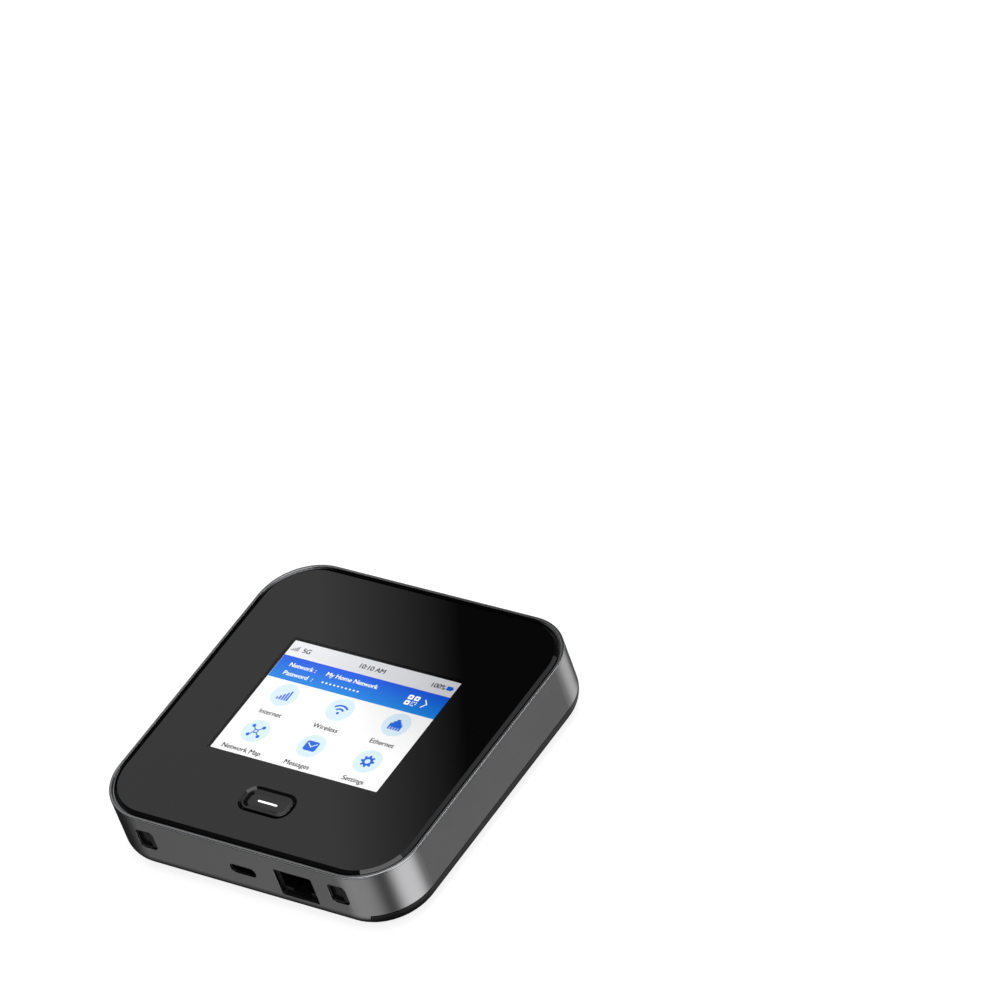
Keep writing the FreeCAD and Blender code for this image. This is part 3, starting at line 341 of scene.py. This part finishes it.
def foam_pad():
    made = Shader("foam", (0.02, 0.02, 0.022), roughness=0.9, sheen_weight=0.15)
    cells = made.node("ShaderNodeTexVoronoi", Scale=1 / 0.0004)
    made.link(made.place(), cells.inputs["Vector"])
    made.link(made.ramp(cells.outputs["Distance"], (0.012, 0.012, 0.013), (0.032, 0.032, 0.035), 0.1, 0.6),
              made.bsdf.inputs["Base Color"])
    made.bump(cells.outputs["Distance"], 0.00012)
    return made.material


def light_plastic(name, base, strength=0.0):
    made = Shader(name, base, roughness=0.35, subsurface_weight=0.1, subsurface_scale=0.0005,
                  emission_strength=strength)
    made.set("Emission Color", (1.0, 1.0, 1.0))
    cloud = made.noise(0.004, detail=3)
    made.link(made.ramp(cloud, tuple(v * 0.96 for v in base), base), made.bsdf.inputs["Base Color"])
    return made.material


LOOKS = {
    "band_metal": band_metal,
    "bezel_metal": lip_metal_with_seam_shade,
    "lens_glass": lens_glass,
    "black_print": black_print,
    "adhesive": lambda: moulded("adhesive", (0.008, 0.008, 0.008), 0.85),
    "display": lambda: glow("display", WHITE),
    "diffuser": lambda: light_plastic("diffuser", (0.8, 0.81, 0.83)),
    "steel": lambda: metal("steel", (0.52, 0.52, 0.54), 0.3, brush=(0.12, 1, 1)),
    "foam": foam_pad,
    "flex": flex_film,
    "frame_plastic": lambda: moulded("frame_plastic", (0.013, 0.013, 0.014), 0.5),
    "cover_plastic": lambda: moulded("cover_plastic", (0.008, 0.008, 0.009), 0.46, grain=0.0003,
                                     depth=0.00002, gloss=0.22),
    "button_black": lambda: gloss_black("button_black", 0.06, edge=0.00008, gloss=1.0),
    "light_bar": lambda: light_plastic("light_bar", (0.9, 0.92, 0.95), strength=0.75),
    "seal_rubber": lambda: moulded("seal_rubber", (0.01, 0.01, 0.01), 0.7),
    "board_green": circuit_board,
    "chip": lambda: moulded("chip", (0.012, 0.012, 0.013), 0.55, grain=0.00012),
    "switch_metal": lambda: metal("switch_metal", (0.7, 0.7, 0.7), 0.15),
    "gold": lambda: metal("gold", (0.85, 0.55, 0.18), 0.22),
    "port_black": lambda: gloss_black("port_black", 0.35, edge=0.00015, gloss=0.3),
    "ptfe": lambda: light_plastic("ptfe", (0.75, 0.75, 0.72)),
    "door_rubber": lambda: moulded("door_rubber", (0.006, 0.006, 0.006), 0.5, gloss=0.25),
    "pin_steel": lambda: metal("pin_steel", (0.6, 0.6, 0.62), 0.15),
    "copper": lambda: metal("copper", (0.75, 0.3, 0.14), 0.28, brush=(1, 0.2, 1)),
    "graphite": lambda: metal("graphite", (0.09, 0.09, 0.095), 0.5),
    "battery_case": lambda: moulded("battery_case", (0.016, 0.017, 0.02), 0.35, grain=0.0005),
    "label_paper": paper_label,
    "sim_plastic": lambda: light_plastic("sim_plastic", (0.8, 0.81, 0.84)),
    "screw_steel": lambda: metal("screw_steel", (0.1, 0.1, 0.11), 0.3),
}


def dress_nodes():
    """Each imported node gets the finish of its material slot."""
    finishes = {slot: make() for slot, make in LOOKS.items()}
    for part in frame["record"]["subparts"]:
        for held in nodes[part["node"]].material_slots:
            held.material = finishes[part["material_slot"]]
    # painted shade: the USB-C shell is made near black to stand for the shade inside the port
    port_shade_steel = metal("port_shade_steel", (0.035, 0.035, 0.036), 0.35)
    for held in nodes["usb_c_shell"].material_slots:
        held.material = port_shade_steel


# ---- flat pieces -------------------------------------------------------------------------------------

def mesh_object(name, bm, material):
    mesh = bpy.data.meshes.new(name)
    bmesh.ops.recalc_face_normals(bm, faces=bm.faces)
    bm.to_mesh(mesh)
    bm.free()
    mesh.materials.append(material)
    item = bpy.data.objects.new(name, mesh)
    scene.collection.objects.link(item)
    return item


def slab(bm, outline, bottom, thickness):
    """A closed flat piece with the given outline."""
    face = bm.faces.new([bm.verts.new((x, y, bottom)) for x, y in outline])
    if face.normal.z > 0:
        face.normal_flip()
    top = bmesh.ops.extrude_face_region(bm, geom=[face])["geom"]
    bmesh.ops.translate(bm, verts=[v for v in top if isinstance(v, bmesh.types.BMVert)],
                        vec=(0, 0, thickness))


def rectangle(x, y, width, depth, corner=0.0, steps=6):
    """A rectangle centred on x, y, with round corners if a radius is given."""
    if not corner:
        return [(x + sx * width / 2, y + sy * depth / 2) for sx, sy in ((-1, -1), (1, -1), (1, 1), (-1, 1))]
    points = []
    for quarter, (sx, sy) in enumerate(((1, 1), (-1, 1), (-1, -1), (1, -1))):
        cx, cy = x + sx * (width / 2 - corner), y + sy * (depth / 2 - corner)
        for k in range(steps + 1):
            turn = math.pi / 2 * (quarter + k / steps)
            points.append((cx + corner * math.cos(turn), cy + corner * math.sin(turn)))
    return points


def arc_band(x, y, radius, width, start, end, steps=16):
    """A band along an arc; angles in degrees."""
    turns = [math.radians(start + (end - start) * k / steps) for k in range(steps + 1)]
    outer = [(x + (radius + width / 2) * math.cos(t), y + (radius + width / 2) * math.sin(t)) for t in turns]
    inner = [(x + (radius - width / 2) * math.cos(t), y + (radius - width / 2) * math.sin(t)) for t in turns]
    return outer + inner[::-1]


def disc(x, y, radius, steps=32):
    return [(x + radius * math.cos(2 * math.pi * k / steps), y + radius * math.sin(2 * math.pi * k / steps))
            for k in range(steps)]


def stroke(x0, y0, x1, y1, width):
    """A straight bar from one point to the other."""
    along = Vector((x1 - x0, y1 - y0)).normalized() * width / 2
    side = Vector((-along.y, along.x))
    ends = [Vector((x0, y0)) - along, Vector((x1, y1)) + along]
    return [tuple(ends[0] - side), tuple(ends[1] - side), tuple(ends[1] + side), tuple(ends[0] + side)]


# ---- the lit screen ----------------------------------------------------------------------------------

LAYER = 0.008 * MM      # thickness of one printed layer of the picture
STATUS_DEPTH = 5.83     # millimetres, as are all places in the picture, from its top left corner
BANNER_DEPTH = 8.8
ICON_COLUMNS = (9.7, 29.3, 49.05)
ICON_ROWS = (19.85, 34.7)
LABEL_DROP = 7.35
CIRCLE_SIZE = 8.8
TEXT_HEIGHT = 1.72      # of a capital
BOLD = (0.11, 0.07)     # how far apart the two copies of each word are, which thickens its strokes
ICONS = (("Internet", "Wireless", "Ethernet"), ("Network Map", "Messages", "Settings"))


def on_screen(u, v):
    """A place in the picture, in millimetres from its top left corner, as a point of the row frame."""
    left = SCREEN_CENTRE.x - SCREEN_WIDTH / 2
    top = SCREEN_CENTRE.y + SCREEN_DEPTH / 2
    return left + u * MM, top - v * MM


def picture(name, outlines, layer, material):
    """Flat shapes of one colour, given in millimetres about a point with v downwards."""
    bm = bmesh.new()
    for outline in outlines:
        slab(bm, [on_screen(u, v) for u, v in outline], SCREEN_CENTRE.z + layer * LAYER, LAYER)
    item = mesh_object(name, bm, material)
    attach(item, "device")
    return item


def words(name, text, u, v, material, align="CENTER", height=TEXT_HEIGHT):
    """Bold lettering whose capitals are height millimetres tall, with its middle at v."""
    scale = height * MM / 0.72
    curve = bpy.data.curves.new(name, "FONT")
    curve.body = text
    curve.align_x = align
    curve.extrude = LAYER / 2 / scale
    curve.resolution_u = 4
    outline = bpy.data.objects.new(name + "_outline", curve)
    flat = bpy.data.meshes.new_from_object(outline)
    bm = bmesh.new()
    for side in (-0.5, 0.5):
        bm.from_mesh(flat)
        bm.verts.ensure_lookup_table()
        shift = Vector((BOLD[0] * MM, BOLD[1] * MM, 0.4 * LAYER)) * side / scale
        bmesh.ops.translate(bm, verts=bm.verts[-len(flat.vertices):], vec=shift)
    item = mesh_object(name, bm, material)
    bpy.data.objects.remove(outline)
    bpy.data.curves.remove(curve)
    bpy.data.meshes.remove(flat)
    x, y = on_screen(u, v + height / 2)
    item.location = (x, y, SCREEN_CENTRE.z + 1.5 * LAYER)
    item.scale = (scale,) * 3
    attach(item, "device")
    return item


def signal_bars(u, v, width, height, count=4, gap=0.35):
    """Bars that grow from left to right on one base line."""
    pitch = width / count
    bars = []
    for k in range(count):
        tall = height * (k + 1) / count
        centre = u - width / 2 + pitch * (k + 0.5)
        bars.append(rectangle(centre, v + height / 2 - tall / 2, pitch * (1 - gap), tall, 0.04, 3))
    return bars


def wireless_icon(u, v):
    fans = [arc_band(u, v + 1.5, radius, 0.62, -137, -43) for radius in (1.75, 3.05)]
    return fans + [disc(u, v + 1.35, 0.48)]


def socket_icon(u, v):
    """A modular socket: a stepped outline with its contacts cut out."""
    body = [(-2.1, 2), (-2.1, -0.4), (-1.35, -0.4), (-1.35, -1.2), (-0.65, -1.2), (-0.65, -2), (0.65, -2),
            (0.65, -1.2), (1.35, -1.2), (1.35, -0.4), (2.1, -0.4), (2.1, 2), (1.7, 2)]
    for x in (1.35, 0.45, -0.45, -1.35):
        body += [(x + 0.14, 2), (x + 0.14, 1.0), (x - 0.14, 1.0), (x - 0.14, 2)]
    return [[(u + x, v + y) for x, y in body]]


def map_icon(u, v):
    arm = 1.75
    shapes = []
    for sx in (-1, 1):
        for sy in (-1, 1):
            shapes.append(stroke(u, v, u + sx * arm, v + sy * arm, 0.32))
            shapes.append(disc(u + sx * arm, v + sy * arm, 0.6, 20))
    return shapes + [rectangle(u, v, 1.5, 1.5, 0.3)]


def message_icon(u, v):
    return [rectangle(u, v, 4.3, 3.7, 0.75)]


def gear_icon(u, v, teeth=8, outer=2.25, root=1.65):
    points = []
    for k in range(teeth):
        for part, radius in ((-0.32, root), (-0.2, outer), (0.2, outer), (0.32, root)):
            turn = 2 * math.pi * (k + part) / teeth
            points.append((u + radius * math.cos(turn), v + radius * math.sin(turn)))
    return [points]


def build_screen():
    blue = glow("display_blue", ICON_BLUE)
    circle = glow("display_circle", CIRCLE_BLUE)
    black = glow("display_black", TEXT_BLACK, shade=False)
    white = glow("display_white", WHITE, shade=False)
    width, depth = SCREEN_WIDTH / MM, SCREEN_DEPTH / MM
    picture("screen_status", [rectangle(width / 2, STATUS_DEPTH / 2, width, STATUS_DEPTH)], 0,
            glow("display_status", STATUS_LEFT, side=STATUS_RIGHT, shade=False))
    banner = rectangle(width / 2, STATUS_DEPTH + BANNER_DEPTH / 2, width, BANNER_DEPTH)
    picture("screen_banner", [banner], 0, glow("display_banner", BANNER_TOP, foot=BANNER_FOOT))

    # status bar
    middle = 2.8
    picture("screen_signal", signal_bars(1.9, middle, 2.75, 1.9, 5), 1,
            glow("display_grey", SIGNAL_GREY, shade=False))
    words("screen_network", "5G", 4.5, middle, black, "LEFT")
    words("screen_clock", "10:10 AM", 29.2, middle, black)
    words("screen_charge", "100%", 55.0, middle, black, "RIGHT")
    cell, cap = rectangle(56.25, middle, 1.95, 1.55, 0.25), rectangle(57.4, middle, 0.35, 0.75)
    picture("screen_battery", [cell, cap], 1, blue)

    # banner
    for name, line, u, v in (("network", "Network :", 3.9, 8.7), ("name", "My Home Network", 17.0, 8.7),
                             ("password", "Password  :", 3.9, 12.0)):
        words("screen_" + name, line, u, v, white, "LEFT", 1.62)
    picture("screen_dots", [disc(17.8 + 1.38 * k, 12.05, 0.32, 14) for k in range(10)], 1, white)
    corners = [(47.0 + 2.2 * a, 9.1 + 2.15 * b) for a, b in ((0, 0), (1, 0), (0, 1))]
    specks = [(48.55, 10.6), (49.2, 10.6), (49.85, 10.6), (48.55, 11.25), (49.85, 11.25), (48.55, 11.9),
              (49.2, 11.9)]
    picture("screen_code", [rectangle(u, v, 1.7, 1.7, 0.4) for u, v in corners]
            + [rectangle(u, v, 0.36, 0.36) for u, v in specks], 1, white)
    picture("screen_code_holes", [rectangle(u, v, 0.6, 0.6, 0.1) for u, v in corners], 2, blue)
    arms = [stroke(52.0, v, 53.15, 10.25, 0.3) for v in (8.85, 11.65)]
    picture("screen_chevron", arms, 1, white)

    # menu
    shapes = {"Wireless": wireless_icon, "Ethernet": socket_icon, "Network Map": map_icon,
              "Messages": message_icon, "Settings": gear_icon}
    for v, labels in zip(ICON_ROWS, ICONS):
        for u, label in zip(ICON_COLUMNS, labels):
            tag = label.lower().replace(" ", "_")
            picture("screen_circle_" + tag, [disc(u, v, CIRCLE_SIZE / 2, 48)], 0, circle)
            drawn = signal_bars(u, v, 4.2, 3.9, 5) if label == "Internet" else shapes[label](u, v)
            picture("screen_icon_" + tag, drawn, 1, blue)
            words("screen_label_" + tag, label, u, v + LABEL_DROP, black)
    u, v = ICON_COLUMNS[1], ICON_ROWS[1]
    folds = [stroke(u + side, v - 0.95, u, v + 0.3, 0.3) for side in (-1.5, 1.5)]
    picture("screen_flap", folds, 2, circle)
    picture("screen_gear_hub", [disc(ICON_COLUMNS[2], ICON_ROWS[1], 0.85)], 2, circle)
    picture("screen_map_hub", [rectangle(ICON_COLUMNS[0], ICON_ROWS[1], 0.8, 0.8, 0.12)], 2, circle)


# ---- floor, lights and camera ------------------------------------------------------------------------

FLOOR_SIZE = 6.0
FLOOR_DROP = 0.0002
CAMERA_PLACE = Vector((1.0953, -0.9504, 1.2751))
CAMERA_AZIMUTH, CAMERA_ELEVATION, CAMERA_ROLL = 46.52, 39.65, 20.3    # degrees
CAMERA_LENS, SENSOR = 246.75, 36.0                                    # millimetres


def camera_ray_mix(tree, seen, unseen, output):
    """Joins two shaders: one for what the camera sees directly, one for light that bounces."""
    ray = tree.nodes.new("ShaderNodeLightPath")
    mix = tree.nodes.new("ShaderNodeMixShader")
    tree.links.new(ray.outputs["Is Camera Ray"], mix.inputs["Fac"])
    tree.links.new(unseen, mix.inputs[1])
    tree.links.new(seen, mix.inputs[2])
    tree.links.new(mix.outputs["Shader"], output)


def build_floor():
    bm = bmesh.new()
    bmesh.ops.create_grid(bm, x_segments=1, y_segments=1, size=FLOOR_SIZE / 2)
    material = bpy.data.materials.new("floor")
    material.use_nodes = True
    tree = material.node_tree
    tree.nodes.clear()
    output = tree.nodes.new("ShaderNodeOutputMaterial")
    pale = tree.nodes.new("ShaderNodeBsdfDiffuse")
    pale.inputs["Color"].default_value = (0.35, 0.35, 0.35, 1)
    lift = tree.nodes.new("ShaderNodeEmission")
    lift.inputs["Strength"].default_value = 0.84
    add = tree.nodes.new("ShaderNodeAddShader")
    tree.links.new(pale.outputs["BSDF"], add.inputs[0])
    tree.links.new(lift.outputs["Emission"], add.inputs[1])
    dim = tree.nodes.new("ShaderNodeBsdfDiffuse")
    dim.inputs["Color"].default_value = (0.5, 0.5, 0.5, 1)
    camera_ray_mix(tree, add.outputs["Shader"], dim.outputs["BSDF"], output.inputs["Surface"])
    floor = mesh_object("floor", bm, material)
    floor.location.z = -FLOOR_DROP
    floor.visible_glossy = False


# light strips low around the object, which its upright sides mirror: azimuth in degrees from +X towards +Y,
# half width in degrees, brightness
STRIPS = ((-4, 38, 3.9), (75, 28, 1.9), (-98, 44, 1.35), (46, 50, 0.3), (-136, 28, 0.34), (-48, 50, 0.2))


def build_world():
    world = bpy.data.worlds.new("studio")
    scene.world = world
    world.use_nodes = True
    tree = world.node_tree
    tree.nodes.clear()

    def math_node(operation, a, b):
        made = tree.nodes.new("ShaderNodeMath")
        made.operation = operation
        for socket, value in zip(made.inputs, (a, b)):
            if isinstance(value, bpy.types.NodeSocket):
                tree.links.new(value, socket)
            else:
                socket.default_value = value
        return made.outputs["Value"]

    def smooth(value, start, end, low, high):
        made = tree.nodes.new("ShaderNodeMapRange")
        made.interpolation_type = "SMOOTHSTEP"
        for name, number in (("From Min", start), ("From Max", end), ("To Min", low), ("To Max", high)):
            made.inputs[name].default_value = number
        tree.links.new(value, made.inputs["Value"])
        return made.outputs["Result"]

    ray = tree.nodes.new("ShaderNodeTexCoord")
    split = tree.nodes.new("ShaderNodeSeparateXYZ")
    tree.links.new(ray.outputs["Generated"], split.inputs["Vector"])
    x, y, z = (split.outputs[axis] for axis in "XYZ")
    level = math_node("SQRT", math_node("ADD", math_node("MULTIPLY", x, x), math_node("MULTIPLY", y, y)), 0.0)
    total = 0.028
    for azimuth, half_width, brightness in STRIPS:
        turn = math.radians(azimuth)
        along = math_node("ADD", math_node("MULTIPLY", x, math.cos(turn)),
                          math_node("MULTIPLY", y, math.sin(turn)))
        total = math_node("ADD", total, smooth(math_node("DIVIDE", along, level),
                                               math.cos(math.radians(half_width)), 1.0, 0.0, brightness))
    band = math_node("MULTIPLY", smooth(z, -0.92, -0.75, 0.0, 1.0), smooth(z, -0.45, -0.05, 1.0, 0.0))
    light = math_node("ADD", math_node("MULTIPLY", total, band), smooth(z, -0.3, 0.1, 0.008, 0.035))

    output = tree.nodes.new("ShaderNodeOutputWorld")
    seen, unseen = (tree.nodes.new("ShaderNodeBackground") for _ in range(2))
    seen.inputs["Color"].default_value = (0.96, 0.96, 0.96, 1)
    tree.links.new(light, unseen.inputs["Strength"])
    camera_ray_mix(tree, seen.outputs["Background"], unseen.outputs["Background"], output.inputs["Surface"])


def area_light(name, azimuth, elevation, distance, width, height, power):
    """A soft box that faces the object. Azimuth 0 is at +X and turns towards +Y."""
    light = bpy.data.lights.new(name, "AREA")
    light.shape = "RECTANGLE"
    light.size, light.size_y = width, height
    light.energy = power
    item = bpy.data.objects.new(name, light)
    scene.collection.objects.link(item)
    turn, rise = math.radians(azimuth), math.radians(elevation)
    away = Vector((math.cos(turn) * math.cos(rise), math.sin(turn) * math.cos(rise), math.sin(rise)))
    item.location = away * distance + Vector((0, 0, 0.01))
    item.rotation_euler = away.to_track_quat("Z", "Y").to_euler()
    return item


# the card that the lens mirrors, seen from the middle of the lens
CARD_WAY = Vector((-0.5586, 0.5298, 0.6381))
CARD_DISTANCE, CARD_HALF = 0.6, 0.5
CARD_TURN = -17.3               # degrees from level to the way in which it fades
CARD_FADE = (-0.019, 0.032)     # where it starts to fade and where it is black, from its middle
CARD_LIGHT = 0.4


def reflection_card():
    """A soft panel behind and to the left, mirrored by the lens. It fades to black towards the right."""
    away = CARD_WAY.normalized()
    level = Vector((CARD_WAY.y, -CARD_WAY.x, 0)).normalized()
    fade_way = Matrix.Rotation(math.radians(CARD_TURN), 3, away) @ level
    bm = bmesh.new()
    bmesh.ops.create_grid(bm, x_segments=1, y_segments=1, size=CARD_HALF)
    material = bpy.data.materials.new("card")
    material.use_nodes = True
    tree = material.node_tree
    tree.nodes.clear()
    output = tree.nodes.new("ShaderNodeOutputMaterial")
    glowing = tree.nodes.new("ShaderNodeEmission")
    where = tree.nodes.new("ShaderNodeTexCoord")
    split = tree.nodes.new("ShaderNodeSeparateXYZ")
    fade = tree.nodes.new("ShaderNodeMapRange")
    for name, value in zip(("From Min", "From Max", "To Min", "To Max"), (*CARD_FADE, CARD_LIGHT, 0.0)):
        fade.inputs[name].default_value = value
    tree.links.new(where.outputs["Object"], split.inputs["Vector"])
    tree.links.new(split.outputs["X"], fade.inputs["Value"])
    tree.links.new(fade.outputs["Result"], glowing.inputs["Strength"])
    tree.links.new(glowing.outputs["Emission"], output.inputs["Surface"])
    card = mesh_object("card", bm, material)
    card.matrix_world = Matrix((fade_way, away.cross(fade_way), away)).transposed().to_4x4()
    card.location = Vector((0, 0, cad_box[1].z)) + away * CARD_DISTANCE
    card.visible_camera = False
    card.visible_shadow = False


def build_lights():
    area_light("key", -42, 50, 1.6, 2.1, 0.9, 8.2)
    area_light("right", 38, 32, 1.5, 1.4, 0.8, 1.15)
    area_light("rim", 82, 57, 1.6, 0.9, 0.6, 6.0)
    area_light("top", 90, 85, 1.8, 1.6, 1.6, 20)
    reflection_card()


def build_camera():
    data = bpy.data.cameras.new("camera")
    data.lens, data.sensor_width = CAMERA_LENS, SENSOR
    data.clip_start, data.clip_end = 0.1, 20
    item = bpy.data.objects.new("camera", data)
    scene.collection.objects.link(item)
    turn, rise = math.radians(CAMERA_AZIMUTH), math.radians(CAMERA_ELEVATION)
    ahead = Vector((-math.sin(turn) * math.cos(rise), math.cos(turn) * math.cos(rise), -math.sin(rise)))
    level = ahead.to_track_quat("-Z", "Y")
    item.rotation_mode = "QUATERNION"
    item.rotation_quaternion = level @ Matrix.Rotation(-math.radians(CAMERA_ROLL), 3, "Z").to_quaternion()
    item.location = CAMERA_PLACE
    scene.camera = item


scene.view_settings.view_transform = "Standard"
dress_nodes()
build_screen()
build_floor()
build_world()
build_lights()
build_camera()
